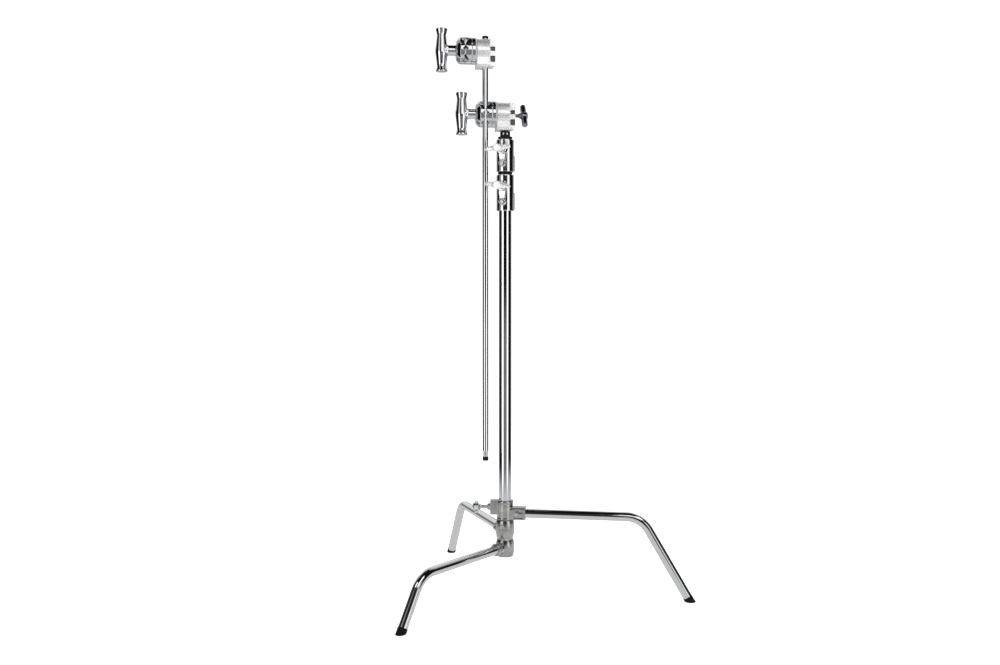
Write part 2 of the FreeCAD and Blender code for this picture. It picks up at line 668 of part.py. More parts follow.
def lower_head():
    """Head on the stud, with a T screw and pad in its socket."""
    parts = grip_head("lower", CLAMPED_GAP)
    pad, screw = lock_screw(STUD_R + GAP, 3.0, SOCKET_SCREW_REACH)
    hole = turned_to(rod_x(SCREW_R + FIT, 0, BIG), 180, SOCKET_SCREW_Z)
    parts["lower_head_base"] = parts["lower_head_base"].cut(hole)
    parts["lower_head_pad"] = turned_to(pad, 180, SOCKET_SCREW_Z)
    parts["lower_head_screw"] = turned_to(screw, 180, SOCKET_SCREW_Z, roll=55)
    return place_head(parts, 0, 0, LOWER_HEAD_Z)


def upper_head():
    """Head fixed on the arm by two set screws."""
    parts = grip_head("upper", CLOSED_GAP)
    screws = []
    for height in (HEAD_SCREW_RISE, -HEAD_SCREW_RISE):
        screw = rod_x(HEAD_SCREW_R, STUD_R + GAP, -BASE_BACK - 0.5)
        screw = screw.cut(hexagon(HEAD_SCREW_R, -BASE_BACK - 3, BIG))
        screws.append(turned_to(screw, 180, height))
        hole = turned_to(rod_x(HEAD_SCREW_R, 0, BIG), 180, height)
        parts["upper_head_base"] = parts["upper_head_base"].cut(hole)
    parts["upper_head_set_screws"] = Part.makeCompound(screws)
    return place_head(parts, ARM_X, ARM_Y, UPPER_HEAD_Z)


def arm():
    """Round arm held upright in the lower head's jaws."""
    bore = STUD_R - ARM_WALL
    tube = ring(bore, STUD_R, ARM_BOTTOM, ARM_TOP)
    cap_r = STUD_R + 0.6
    plug_bottom = ARM_TOP - 12
    cap_top = ARM_TOP + 6.5
    top_cap = spin([(0, plug_bottom), (bore, plug_bottom), (bore, ARM_TOP), (cap_r, ARM_TOP),
                    (cap_r, cap_top - 1.5), (cap_r - 1, cap_top), (0, cap_top)])
    end_stud = upright(bore, ARM_BOTTOM - 20, ARM_BOTTOM + 40)
    low = ARM_BOTTOM - 26.5
    high = ARM_BOTTOM - 16
    end_cap = spin([(0, low), (STUD_R - 1, low), (STUD_R, low + 1.5),
                    (STUD_R, high - 1.5), (STUD_R - 0.8, high), (0, high)])
    parts = {
        "arm_tube": tube,
        "arm_top_cap": top_cap,
        "arm_end_stud": end_stud,
        "arm_end_cap": end_cap.cut(end_stud),
    }
    for shape in parts.values():
        shape.translate(Vector(ARM_X, ARM_Y, 0))
    return parts


def build():
    parts = {}
    parts.update(lower_hub())
    parts.update(middle_hub())
    parts.update(sliding_bracket())
    parts.update(collar("lower", COLUMN_R, RISER_1_R, LOWER_COLLAR_BOTTOM, LOWER_COLLAR_TOP,
                        COLUMN_TOP, LOWER_LOCK_Z, LOWER_BOLT_Z))
    parts.update(collar("upper", RISER_1_R, RISER_2_R, UPPER_COLLAR_BOTTOM, UPPER_COLLAR_TOP,
                        RISER_1_TOP, UPPER_LOCK_Z, UPPER_BOLT_Z))
    parts.update(risers())
    parts.update(lower_head())
    parts.update(arm())
    parts.update(upper_head())
    return parts


os.makedirs("parts", exist_ok=True)
for node, solid in build().items():
    solid.translate(Vector(COLUMN_X, COLUMN_Y, 0))
    solid.exportStep("parts/" + node + ".step")
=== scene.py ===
import json
import math

import bmesh
import bpy
from mathutils import Matrix, Vector


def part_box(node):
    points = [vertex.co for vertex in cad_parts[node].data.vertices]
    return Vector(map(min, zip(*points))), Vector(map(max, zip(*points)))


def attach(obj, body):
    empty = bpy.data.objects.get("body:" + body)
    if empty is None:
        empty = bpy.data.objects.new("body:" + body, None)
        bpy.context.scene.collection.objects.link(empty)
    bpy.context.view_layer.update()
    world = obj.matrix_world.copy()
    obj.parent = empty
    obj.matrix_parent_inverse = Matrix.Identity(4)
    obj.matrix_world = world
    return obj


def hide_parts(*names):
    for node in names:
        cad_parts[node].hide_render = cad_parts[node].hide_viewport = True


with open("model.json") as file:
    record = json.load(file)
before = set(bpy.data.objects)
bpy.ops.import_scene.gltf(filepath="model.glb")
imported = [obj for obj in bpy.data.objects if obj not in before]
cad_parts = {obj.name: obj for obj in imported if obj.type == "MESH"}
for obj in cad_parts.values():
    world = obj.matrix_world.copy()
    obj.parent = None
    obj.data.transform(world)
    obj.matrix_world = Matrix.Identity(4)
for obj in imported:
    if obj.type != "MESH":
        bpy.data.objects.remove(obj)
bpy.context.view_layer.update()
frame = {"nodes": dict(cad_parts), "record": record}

# Shapes are drawn in millimetres in the same local frames as the CAD pieces, and scaled when they are placed.
BODY_OF = {node: body for body, nodes in frame["record"]["behaviour"]["bodies"].items() for node in nodes}
SLOT_OF = {part["node"]: part["material_slot"] for part in frame["record"]["subparts"]}


def middle(node):
    """Centre of a CAD node's box, in millimetres."""
    low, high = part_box(node)
    return (low + high) * 500


def heights(node):
    """Lowest and highest Z of a CAD node, in millimetres."""
    low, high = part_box(node)
    return low.z * 1000, high.z * 1000


FLAT = Vector((1, 1, 0))
COLUMN = middle("column_tube") * FLAT
ARM = middle("arm_tube") * FLAT
LOWER_HEAD = COLUMN + Vector((0, 0, middle("lower_head_handle").z))
UPPER_HEAD = ARM + Vector((0, 0, middle("upper_head_handle").z))
HUB_BOTTOM, LOWER_TOP = heights("lower_leg_casting")
MIDDLE_BOTTOM, MIDDLE_TOP = heights("middle_leg_casting")
BRACKET_BOTTOM, BRACKET_TOP = heights("sliding_leg_bracket")

# Sizes are in millimetres and turns in degrees. SLIP is the play between a hole and what runs in it, and FAR
# is past the end of anything that a cutter has to pass through.
SLIP = 0.05
FLOOR_GAP = 0.05
FAR = 300.0
COLUMN_R = 17.5
RISER_1_R = 15.0
RISER_2_R = 12.5
TUBE_WALL = 1.5
COLUMN_TOP = 1122.0
RISER_1_BOTTOM = 120.0
RISER_1_TOP = 1222.0
RISER_2_BOTTOM = 135.0
RISER_2_TOP = 1288.0
STUD_R = 8.0
STUD_BOTTOM = 1230.0
STUD_TOP = 1336.0
SPIGOT_R = 6.0

LEG_R = 12.7
LEG_WALL = 1.6
LEG_START = 20.0
FOOT_SHOULDER = 14.0
SLOPE = math.radians(59.5)
BEND_R = 70.0
BEND_STEPS = 40
# Each leg's name, the height of its bar, how far out it bends, and its azimuth.
LEGS = (("lower", 133.0, 345.0, 223.6), ("middle", 182.0, 362.0, 103.6), ("top", 231.0, 379.0, -16.4))
LOWER_LEG, MIDDLE_LEG, TOP_LEG = LEGS
SOCKET_R = 16.5
SOCKET_REACH = 44.0
MOUTH_R = 17.7
MOUTH_START = 38.5
TUBE_SEAT = 19.0
CROSS_BOLT_X = 35.0
CROSS_BOLT_R = 3.0
CROSS_BOLT_FLATS = 10.0
CROSS_BOLT_HALF = 17.1
BRACKET_HALF = 18.0
LINER_R = 19.25

SCREW_R = 5.0
THREAD_PITCH = 1.5
THREAD_DEPTH = 0.55
T_BAR_HALF = 36.5
LOCK_AZIMUTH = -117.0
LEG_LOCK_AZIMUTH = 172.0
LEG_LOCK_Z = 248.0
COLLAR_R = 24.0
COLLAR_RING_R = 19.7
COLLAR_RING_HEIGHT = 7.0
COLLAR_BOLT_BOSS_R = 9.4
COLLAR_BOLT_BOSS_HALF = 28.3
COLLAR_BOLT_RECESS_R = 7.4
COLLAR_BOLT_RECESS_X = 25.6
# Each collar's name, the radii of the tubes outside and inside it, its bottom and top, the outer tube's top,
# the heights of its T screw and of its bolts, and the roll of the T screw.
COLLARS = (("lower", COLUMN_R, RISER_1_R, 1075.0, 1174.7, COLUMN_TOP, 1141.5, 1099.0, -8.2),
           ("upper", RISER_1_R, RISER_2_R, 1182.0, 1271.0, RISER_1_TOP, 1241.5, 1204.5, 4.4))
CAP_BOTTOM = 1278.3
CAP_TOP = 1293.0

# The head's stations along its bolt, from the socket casting to the outer jaw.
BASE_HALF = 27.0
DISC_R = 33.0
BASE_FACE = 26.0
JAW_R = 36.0
JAW_BORE = 6.3
WASHER_START = 26.1
BACKING_START = 29.0
BACKING_END = 38.6
INNER_START = 38.7
INNER_FACE = 57.1
GROOVE_SHIFT = 0.915
HANDLE_HALF = 57.5
SET_SCREW_Z = -2.5

SHARP_ANGLE = math.radians(35.0)


# Mesh tools
def add_object(bm, name="shape"):
    """Link a bmesh as an object with outward normals."""
    bmesh.ops.recalc_face_normals(bm, faces=bm.faces)
    mesh = bpy.data.meshes.new(name)
    bm.to_mesh(mesh)
    bm.free()
    obj = bpy.data.objects.new(name, mesh)
    bpy.context.scene.collection.objects.link(obj)
    return obj


def rounded(points, steps=5):
    """Corners of a closed polygon; a corner (x, y, radius) becomes an arc."""
    out = []
    for i, point in enumerate(points):
        here = Vector(point[:2])
        if len(point) == 2:
            out.append(tuple(here))
            continue
        before = (Vector(points[i - 1][:2]) - here).normalized()
        after = (Vector(points[(i + 1) % len(points)][:2]) - here).normalized()
        half = before.angle(after) / 2
        centre = here + (before + after).normalized() * (point[2] / math.sin(half))
        first = here + before * (point[2] / math.tan(half)) - centre
        last = here + after * (point[2] / math.tan(half)) - centre
        start = math.atan2(first.y, first.x)
        turn = (math.atan2(last.y, last.x) - start + math.pi) % (2 * math.pi) - math.pi
        for k in range(steps + 1):
            angle = start + turn * k / steps
            out.append((centre.x + point[2] * math.cos(angle), centre.y + point[2] * math.sin(angle)))
    return out


def curve_through(points, per_span=6):
    """Open Catmull-Rom line through (x, y) points."""
    pts = [Vector(p) for p in points]
    pts = [pts[0] * 2 - pts[1]] + pts + [pts[-1] * 2 - pts[-2]]
    out = []
    for a, b, c, d in zip(pts, pts[1:], pts[2:], pts[3:]):
        for k in range(per_span):
            t = k / per_span
            out.append(0.5 * (2 * b + (c - a) * t + (2 * a - 5 * b + 4 * c - d) * t * t
                              + (3 * b - a - 3 * c + d) * t ** 3))
    return [tuple(p) for p in out] + [tuple(pts[-2])]


def lathe(outline, axis="Z", segments=96):
    """Closed outline of (radius, height) points turned about an axis through the origin."""
    bm = bmesh.new()
    rings = []
    for radius, height in outline:
        if radius < 1e-4:
            rings.append([bm.verts.new((0, 0, height))])
        else:
            angles = [2 * math.pi * i / segments for i in range(segments)]
            points = [(radius * math.cos(a), radius * math.sin(a), height) for a in angles]
            rings.append([bm.verts.new(point) for point in points])
    for low, high in zip(rings, rings[1:] + rings[:1]):
        for i in range(segments):
            j = (i + 1) % segments
            if len(low) > 1 and len(high) > 1:
                bm.faces.new((low[i], low[j], high[j], high[i]))
            elif len(high) > 1:
                bm.faces.new((low[0], high[j], high[i]))
            elif len(low) > 1:
                bm.faces.new((low[i], low[j], high[0]))
    if axis == "X":
        bm.transform(Matrix(((0, 0, 1, 0), (0, 1, 0, 0), (-1, 0, 0, 0), (0, 0, 0, 1))))
    elif axis == "Y":
        bm.transform(Matrix(((1, 0, 0, 0), (0, 0, 1, 0), (0, -1, 0, 0), (0, 0, 0, 1))))
    return add_object(bm)


def rod(radius, start, end, axis="Z", edge=0.0, at=(0, 0, 0), segments=96):
    """Solid rod with its end edges rounded."""
    corner = (edge,) if edge else ()
    outline = rounded([(0, start), (radius, start) + corner, (radius, end) + corner, (0, end)])
    return moved(lathe(outline, axis, segments), at=at)


def pipe(inner, outer, start, end, axis="Z", edge=0.4):
    """Round tube with all four of its edges rounded."""
    points = [(inner, start, edge), (outer, start, edge), (outer, end, edge), (inner, end, edge)]
    return lathe(rounded(points), axis, 128)


def cross_rod(radius, side, reach, edge, at):
    """Rod along Y from the origin out to one side, which is -1 or 1."""
    return rod(radius, min(0, side * reach), max(0, side * reach), "Y", edge, at=at)


def prism(points, start, end, axis="Y"):
    """Polygon of (x, z) points pushed along Y, or of (y, z) points pushed along X."""
    bm = bmesh.new()
    ends = []
    for level in (start, end):
        if axis == "Y":
            ends.append([bm.verts.new((p[0], level, p[1])) for p in points])
        else:
            ends.append([bm.verts.new((level, p[0], p[1])) for p in points])
    bm.faces.new(ends[0])
    bm.faces.new(ends[1])
    for i in range(len(points)):
        j = (i + 1) % len(points)
        bm.faces.new((ends[0][i], ends[0][j], ends[1][j], ends[1][i]))
    return add_object(bm)


def slab(x0, x1, y0, y1, z0, z1, edge=0.0, axis="X"):
    """Box with its edges along one axis rounded."""
    corner = (edge,) if edge else ()
    left, right = (y0, y1) if axis == "X" else (x0, x1)
    start, end = (x0, x1) if axis == "X" else (y0, y1)
    points = [(left, z0) + corner, (right, z0) + corner, (right, z1) + corner, (left, z1) + corner]
    return prism(rounded(points), start, end, axis)


def hexagon(across_flats, start, end, edge=0.4):
    """Hexagonal prism along X with its rims turned down."""
    corner = across_flats / math.sqrt(3)
    flat = across_flats / 2
    angles = [math.radians(a) for a in range(0, 360, 60)]
    body = prism([(corner * math.cos(a), corner * math.sin(a)) for a in angles], start, end, "X")
    clear = corner + 0.1
    outline = [(0, start), (flat, start), (clear, start + edge), (clear, end - edge), (flat, end), (0, end)]
    rim = lathe(outline, "X", 48)
    return carve(body, [rim], "INTERSECT")


def moved(obj, azimuth=0.0, roll=0.0, at=(0, 0, 0)):
    """Roll about X, then turn about Z, then shift, in the mesh."""
    turn = Matrix.Rotation(math.radians(azimuth), 4, "Z") @ Matrix.Rotation(math.radians(roll), 4, "X")
    obj.data.transform(Matrix.Translation(Vector(at)) @ turn)
    return obj


def applied(obj):
    """Apply the modifiers and keep the result as the object's mesh."""
    graph = bpy.context.evaluated_depsgraph_get()
    mesh = bpy.data.meshes.new_from_object(obj.evaluated_get(graph))
    obj.modifiers.clear()
    obj.data = mesh
    return obj


def carve(base, tools, operation="DIFFERENCE"):
    """Apply every tool to the base as a boolean, then remove the tools."""
    for tool in tools:
        modifier = base.modifiers.new("carve", "BOOLEAN")
        modifier.operation = operation
        modifier.object = tool
        modifier.solver = "MANIFOLD"
    applied(base)
    for tool in tools:
        bpy.data.objects.remove(tool)
    return base


def union(base, *tools):
    return carve(base, list(tools), "UNION")


def joined(*objs):
    """One mesh holding several separate shells."""
    bm = bmesh.new()
    for obj in objs:
        bm.from_mesh(obj.data)
        bpy.data.objects.remove(obj)
    return add_object(bm)


def cast(obj, voxel=0.8, rounds=6):
    """Even out a shape into a casting, with small radii on every edge."""
    remesh = obj.modifiers.new("remesh", "REMESH")
    remesh.mode = "VOXEL"
    remesh.voxel_size = voxel
    smooth = obj.modifiers.new("smooth", "SMOOTH")
    smooth.factor = 0.5
    smooth.iterations = rounds
    return applied(obj)


def place(obj, node, azimuth=0.0, at=COLUMN):
    """Finish a piece: put it in the frame, hide its CAD node, and give it the body of its CAD node and the
    material of its finish.
    """
    moved(obj, azimuth, at=at)
    obj.data.transform(Matrix.Scale(0.001, 4))
    obj.name = node + "_fine"
    obj.data.name = obj.name
    obj.data.polygons.foreach_set("use_smooth", [True] * len(obj.data.polygons))
    obj.data.set_sharp_from_angle(angle=SHARP_ANGLE)
    weigh = obj.modifiers.new("weigh", "WEIGHTED_NORMAL")
    weigh.keep_sharp = True
    obj.data.materials.clear()
    obj.data.materials.append(MATERIALS[FINISH_OF[node]])
    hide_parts(node)
    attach(obj, BODY_OF[node])


# Materials
class Nodes:
    """Small wrapper for building a node tree."""

    def __init__(self, tree):
        self.tree = tree
        tree.nodes.clear()

    def add(self, kind, inputs=None, **settings):
        node = self.tree.nodes.new(kind)
        for key, value in settings.items():
            setattr(node, key, value)
        for key, value in (inputs or {}).items():
            if isinstance(value, bpy.types.NodeSocket):
                self.tree.links.new(value, node.inputs[key])
            else:
                node.inputs[key].default_value = value
        return node

    def math(self, operation, *values):
        return self.add("ShaderNodeMath", dict(enumerate(values)), operation=operation).outputs[0]

    def remap(self, value, low, high, to_low, to_high, smooth=False):
        kind = "SMOOTHSTEP" if smooth else "LINEAR"
        sockets = {"Value": value, "From Min": low, "From Max": high, "To Min": to_low, "To Max": to_high}
        return self.add("ShaderNodeMapRange", sockets, interpolation_type=kind).outputs["Result"]

    def noise(self, vector, scale, detail=4.0, rough=0.5):
        sockets = {"Vector": vector, "Scale": scale, "Detail": detail, "Roughness": rough}
        return self.add("ShaderNodeTexNoise", sockets).outputs["Fac"]

    def blend(self, factor, first, second):
        node = self.add("ShaderNodeMix", data_type="RGBA")
        for socket, value in ((node.inputs[0], factor), (node.inputs[6], first), (node.inputs[7], second)):
            if isinstance(value, bpy.types.NodeSocket):
                self.tree.links.new(value, socket)
            else:
                socket.default_value = value
        return node.outputs[2]


def surface(slot, color, dark, metallic, rough, spread, grain, depth, streak=(1, 1, 1), edges=0.0,
            specular=0.5, painted_recess_shade=()):
    """Procedural finish. spread is how far roughness varies; grain is bump features per metre, depth in
    metres; streak stretches the noise along an axis; edges brightens worn corners and turns on painted shade
    that darkens concave creases; the recess boxes given last are the parts of the piece's own box, as
    fractions of its size, where shade is painted into the recesses, nearly black."""
    material = bpy.data.materials.new(slot)
    material.use_nodes = True
    n = Nodes(material.node_tree)
    place_in = n.add("ShaderNodeTexCoord").outputs["Object"]
    stretch = n.add("ShaderNodeMapping", {"Vector": place_in, "Scale": streak}).outputs[0]
    cloud = n.noise(place_in, 22.0, 5.0, 0.6)
    fine = n.noise(stretch, grain, 6.0, 0.6)
    fleck = n.noise(stretch, grain * 0.23, 3.0, 0.5)
    tone = n.blend(n.remap(cloud, 0.35, 0.65, 0.0, 1.0), (*dark, 1), (*color, 1))
    tone = n.blend(n.remap(fleck, 0.42, 0.60, 0.0, 0.5), tone, (*color, 1))
    if edges:
        point = n.add("ShaderNodeNewGeometry").outputs["Pointiness"]
        worn = n.math("MULTIPLY", n.remap(point, 0.52, 0.60, 0.0, edges), n.remap(fleck, 0.4, 0.6, 0.3, 1.0))
        tone = n.blend(worn, tone, tuple(min(1.0, c * 1.35) for c in color) + (1,))
        # Painted shade: where pointiness is low, in concave creases and inner corners, the colour darkens
        # towards a third of the dark tone.
        crevice_shade = n.remap(point, 0.40, 0.48, 0.45, 0.0)
        tone = n.blend(crevice_shade, tone, tuple(c * 0.35 for c in dark) + (1,))
    # Painted shade: inside each listed box the colour goes nearly black, 6% of the dark tone, standing in for
    # the shade in the piece's recesses.
    if painted_recess_shade:
        within = n.add("ShaderNodeSeparateXYZ", {0: n.add("ShaderNodeTexCoord").outputs["Generated"]}).outputs
        half_way = n.math("ABSOLUTE", n.math("SUBTRACT", within[1], 0.5))
        for (x0, x1), (y0, y1), (z0, z1) in painted_recess_shade:
            mask = n.math("MULTIPLY", n.remap(within[0], x0 - 0.01, x0 + 0.01, 0.0, 1.0),
                          n.remap(within[0], x1 - 0.01, x1 + 0.01, 1.0, 0.0))
            for value, low, high in ((half_way, y0, y1), (within[2], z0, z1)):
                mask = n.math("MULTIPLY", mask, n.remap(value, low - 0.006, low + 0.006, 0.0, 1.0))
                mask = n.math("MULTIPLY", mask, n.remap(value, high - 0.006, high + 0.006, 1.0, 0.0))
            shade = tuple(c * 0.06 for c in dark) + (1,)
            tone = n.blend(n.math("MULTIPLY", mask, n.remap(fleck, 0.35, 0.65, 0.9, 1.0)), tone, shade)
    mixed = n.math("ADD", n.math("MULTIPLY", fine, 0.6), n.math("MULTIPLY", cloud, 0.4))
    roughness = n.remap(mixed, 0.35, 0.65, max(0.02, rough - spread), rough + spread)
    bump = n.add("ShaderNodeBump", {"Height": fine, "Strength": 1.0, "Distance": depth}).outputs[0]
    sockets = {"Base Color": tone, "Metallic": metallic, "Roughness": roughness, "Normal": bump,
               "Specular IOR Level": specular}
    shader = n.add("ShaderNodeBsdfPrincipled", sockets)
    n.add("ShaderNodeOutputMaterial", {"Surface": shader.outputs[0]})
    return material


CHROME = dict(metallic=1.0, rough=0.06, spread=0.025, grain=320.0, depth=0.0000012)
SPECS = {
    "cast_metal": dict(color=(0.60, 0.60, 0.59), dark=(0.36, 0.36, 0.355), metallic=1.0, rough=0.20,
                       spread=0.07, grain=1100.0, depth=0.00020, edges=0.9),
    "collar_metal": dict(color=(0.90, 0.90, 0.91), dark=(0.82, 0.82, 0.83), metallic=1.0, rough=0.10,
                         spread=0.035, grain=900.0, depth=0.00002, edges=0.5),
    "lock_metal": dict(color=(0.90, 0.90, 0.90), dark=(0.80, 0.80, 0.80), metallic=0.55, rough=0.26,
                       spread=0.07, grain=1300.0, depth=0.00006, edges=0.3),
    # The head casting's last entry paints shade, nearly black, into the four recess pockets at the back of
    # its base.
    "head_cast": dict(color=(0.95, 0.95, 0.96), dark=(0.89, 0.89, 0.90), metallic=0.75, rough=0.30,
                      spread=0.07, grain=1500.0, depth=0.00008, edges=0.5,
                      painted_recess_shade=(((0.735, 1.1), (0.19, 0.294), (0.555, 0.695)),
                               ((0.735, 1.1), (0.19, 0.294), (0.177, 0.380)))),
    "leg_chrome": dict(color=(0.80, 0.81, 0.82), dark=(0.74, 0.75, 0.76), **CHROME),
    "column_chrome": dict(color=(0.84, 0.85, 0.87), dark=(0.78, 0.79, 0.81), **CHROME),
    "arm_chrome": dict(color=(0.84, 0.85, 0.87), dark=(0.78, 0.79, 0.81), **CHROME),
    "head_chrome": dict(color=(0.82, 0.83, 0.86), dark=(0.74, 0.75, 0.78), metallic=1.0, rough=0.11,
                        spread=0.05, grain=900.0, depth=0.00003, edges=0.3),
    "handle_chrome": dict(color=(0.84, 0.85, 0.87), dark=(0.76, 0.77, 0.79), metallic=1.0, rough=0.10,
                          spread=0.04, grain=800.0, depth=0.00002, edges=0.3),
    "screw_dark": dict(color=(0.36, 0.37, 0.40), dark=(0.24, 0.25, 0.28), metallic=1.0, rough=0.16,
                       spread=0.06, grain=900.0, depth=0.00004, edges=0.4),
    "stud_steel": dict(color=(0.74, 0.74, 0.75), dark=(0.62, 0.62, 0.63), metallic=1.0, rough=0.22,
                       spread=0.07, grain=400.0, depth=0.00002, streak=(1, 1, 12)),
    "bolt_steel": dict(color=(0.72, 0.72, 0.73), dark=(0.58, 0.58, 0.58), metallic=1.0, rough=0.26,
                       spread=0.08, grain=1200.0, depth=0.00003),
    "black_steel": dict(color=(0.05, 0.05, 0.055), dark=(0.03, 0.03, 0.032), metallic=0.6, rough=0.38,
                        spread=0.08, grain=1400.0, depth=0.00004),
    "brass": dict(color=(0.72, 0.56, 0.28), dark=(0.60, 0.44, 0.20), metallic=1.0, rough=0.26, spread=0.08,
                  grain=1100.0, depth=0.00003),
    "black_plastic": dict(color=(0.010, 0.010, 0.011), dark=(0.006, 0.006, 0.0065), metallic=0.0,
                          rough=0.42, spread=0.10, grain=2200.0, depth=0.00006, specular=0.15),
    "nylon": dict(color=(0.78, 0.76, 0.70), dark=(0.70, 0.68, 0.62), metallic=0.0, rough=0.42, spread=0.08,
                  grain=1500.0, depth=0.00004),
    "fibre": dict(color=(0.46, 0.46, 0.46), dark=(0.36, 0.36, 0.36), metallic=0.0, rough=0.62, spread=0.12,
                  grain=2600.0, depth=0.0002),
    "foot_rubber": dict(color=(0.010, 0.010, 0.010), dark=(0.005, 0.005, 0.005), metallic=0.0, rough=0.60,
                        spread=0.12, grain=1800.0, depth=0.00012, specular=0.10),
}
MATERIALS = {slot: surface(slot, **spec) for slot, spec in SPECS.items()}
FINISH_OF = dict(SLOT_OF, lower_collar_lock="lock_metal", upper_collar_lock="lock_metal")


# Tubes
def straight_tubes():
    for node, radius, bottom, top in (("column_tube", COLUMN_R, HUB_BOTTOM + 2, COLUMN_TOP),
                                      ("riser_1_tube", RISER_1_R, RISER_1_BOTTOM, RISER_1_TOP),
                                      ("riser_2_tube", RISER_2_R, RISER_2_BOTTOM, RISER_2_TOP)):
        place(pipe(radius - TUBE_WALL, radius, bottom, top), node)
    place(pipe(SPIGOT_R, STUD_R, *heights("arm_tube"), edge=0.6), "arm_tube", at=ARM)
    root_r = RISER_2_R - TUBE_WALL
    stud = [(0, STUD_BOTTOM), (root_r, STUD_BOTTOM, 0.5), (root_r, RISER_2_TOP), (STUD_R, RISER_2_TOP),
            (STUD_R, STUD_TOP - 1.2, 0.8), (STUD_R - 1.2, STUD_TOP), (0, STUD_TOP)]
    place(lathe(rounded(stud)), "stud")


def foot_reach(height, bend):
    """How far out a leg's tube ends."""
    return bend + (height - FOOT_SHOULDER) / math.tan(SLOPE)


def leg_stations(height, bend):
    """Centreline points of a leg in the XZ plane with the section's tilt at each."""
    tangent = BEND_R * math.tan(SLOPE / 2)
    stations = [(LEG_START, height, 0.0)]
    for k in range(BEND_STEPS + 1):
        angle = SLOPE * k / BEND_STEPS
        x = bend - tangent + BEND_R * math.sin(angle)
        stations.append((x, height - BEND_R * (1 - math.cos(angle)), angle))
    stations.append((foot_reach(height, bend), FOOT_SHOULDER, SLOPE))
    return stations


def swept(stations, radius, segments=96):
    """Solid bar along the stations."""
    bm = bmesh.new()
    rings = []
    for x, z, tilt in stations:
        ring = []
        for i in range(segments):
            a = 2 * math.pi * i / segments
            lift = radius * math.sin(a)
            point = (x + lift * math.sin(tilt), radius * math.cos(a), z + lift * math.cos(tilt))
            ring.append(bm.verts.new(point))
        rings.append(ring)
    for low, high in zip(rings, rings[1:]):
        for i in range(segments):
            j = (i + 1) % segments
            bm.faces.new((low[i], low[j], high[j], high[i]))
    bm.faces.new(rings[0])
    bm.faces.new(rings[-1])
    return add_object(bm)


def legs():
    for name, height, bend, azimuth in LEGS:
        stations = leg_stations(height, bend)
        tube = carve(swept(stations, LEG_R), [swept(stations, LEG_R - LEG_WALL)])
        place(tube, name + "_leg_tube", azimuth=azimuth)

        foot = lathe(rounded([(0, -22), (11.1, -22, 0.8), (11.1, 0), (13.3, 0, 0.9), (13.3, 30), (0, 30)]))
        foot = carve(foot, [pipe(12.75, 14.5, 2.6, 3.6, edge=0.3)])
        foot.data.transform(Matrix.Rotation(math.pi / 2 + SLOPE, 4, "Y"))
        moved(foot, at=(foot_reach(height, bend), 0, FOOT_SHOULDER))
        ground = slab(-800, 800, -100, 100, -100, FLOOR_GAP)
        foot = cast(carve(foot, [ground]), 0.5, 5)
        place(foot, name + "_leg_foot", azimuth=azimuth)


def cross_bolt(name, height, azimuth, half):
    """Bolt through a socket, with a hexagon head and nut."""
    bolt = rod(CROSS_BOLT_R, -half - 3.0, half + 5.0, "X", 0.5, segments=48)
    head = hexagon(CROSS_BOLT_FLATS, -half - 4.2, -half)
    nut = hexagon(CROSS_BOLT_FLATS, half, half + 4.5)
    bolt = union(bolt, head, nut)
    moved(bolt, azimuth=90, at=(CROSS_BOLT_X, 0, height))
    place(bolt, name + "_leg_bolts", azimuth=azimuth)


def tube_hole(height, azimuth):
    """Cutter for the hole that holds a leg's tube."""
    return moved(rod(LEG_R + SLIP, TUBE_SEAT, FAR, "X", at=(0, 0, height)), azimuth)


def casting(leg, outline, low, high, extras=()):
    """Barrel casting between two heights, with its leg socket and the raised seam of its mould."""
    name, height, _, azimuth = leg
    body = lathe(outline, "Z", 160)
    socket = moved(rod(SOCKET_R, 0, SOCKET_REACH, "X", 1.0, at=(0, 0, height)), azimuth)
    mouth = moved(rod(MOUTH_R, MOUTH_START, SOCKET_REACH, "X", 1.0, at=(0, 0, height)), azimuth)
    bosses = []
    for side in (-1, 1):
        boss = cross_rod(7.4, side, CROSS_BOLT_HALF, 0.8, (CROSS_BOLT_X, 0, height))
        bosses.append(moved(boss, azimuth))
    seam = moved(slab(20, 26.9, -0.5, 0.5, low + 4, high - 4, 0.4, "Y"), azimuth + 90)
    body = union(body, socket, mouth, *bosses, *extras, seam)
    bore = rod(COLUMN_R + SLIP, -FAR, FAR)
    body = cast(carve(body, [bore, tube_hole(height, azimuth)]), 0.8, 6)
    place(body, name + "_leg_casting")


def hub():
    """The two barrel castings and the bolts that hold all three legs."""
    low, high = HUB_BOTTOM, LOWER_TOP
    side = curve_through([(23.0, low + 1.5), (25.2, low + 12), (26.2, low + 26), (25.4, high - 12),
                          (22.8, high - 1)])
    outline = [(0, low), (21.5, low)] + side + [(21.8, high), (0, high)]
    casting(LOWER_LEG, outline, low, high)
    low, high = MIDDLE_BOTTOM, MIDDLE_TOP
    side = curve_through([(22.8, low + 1.5), (25.4, low + 12), (26.2, low + 25), (25.6, high - 12),
                          (24.0, high - 1)])
    outline = [(0, low), (21.3, low)] + side + [(23.0, high), (0, high)]
    boss = moved(rod(7.0, 0, 26.9, "X", 1.0, at=(0, 0, high - 19)), -119)
    casting(MIDDLE_LEG, outline, low, high, [boss])
    for name, height, _, azimuth in LEGS:
        cross_bolt(name, height, azimuth, BRACKET_HALF if name == "top" else CROSS_BOLT_HALF)


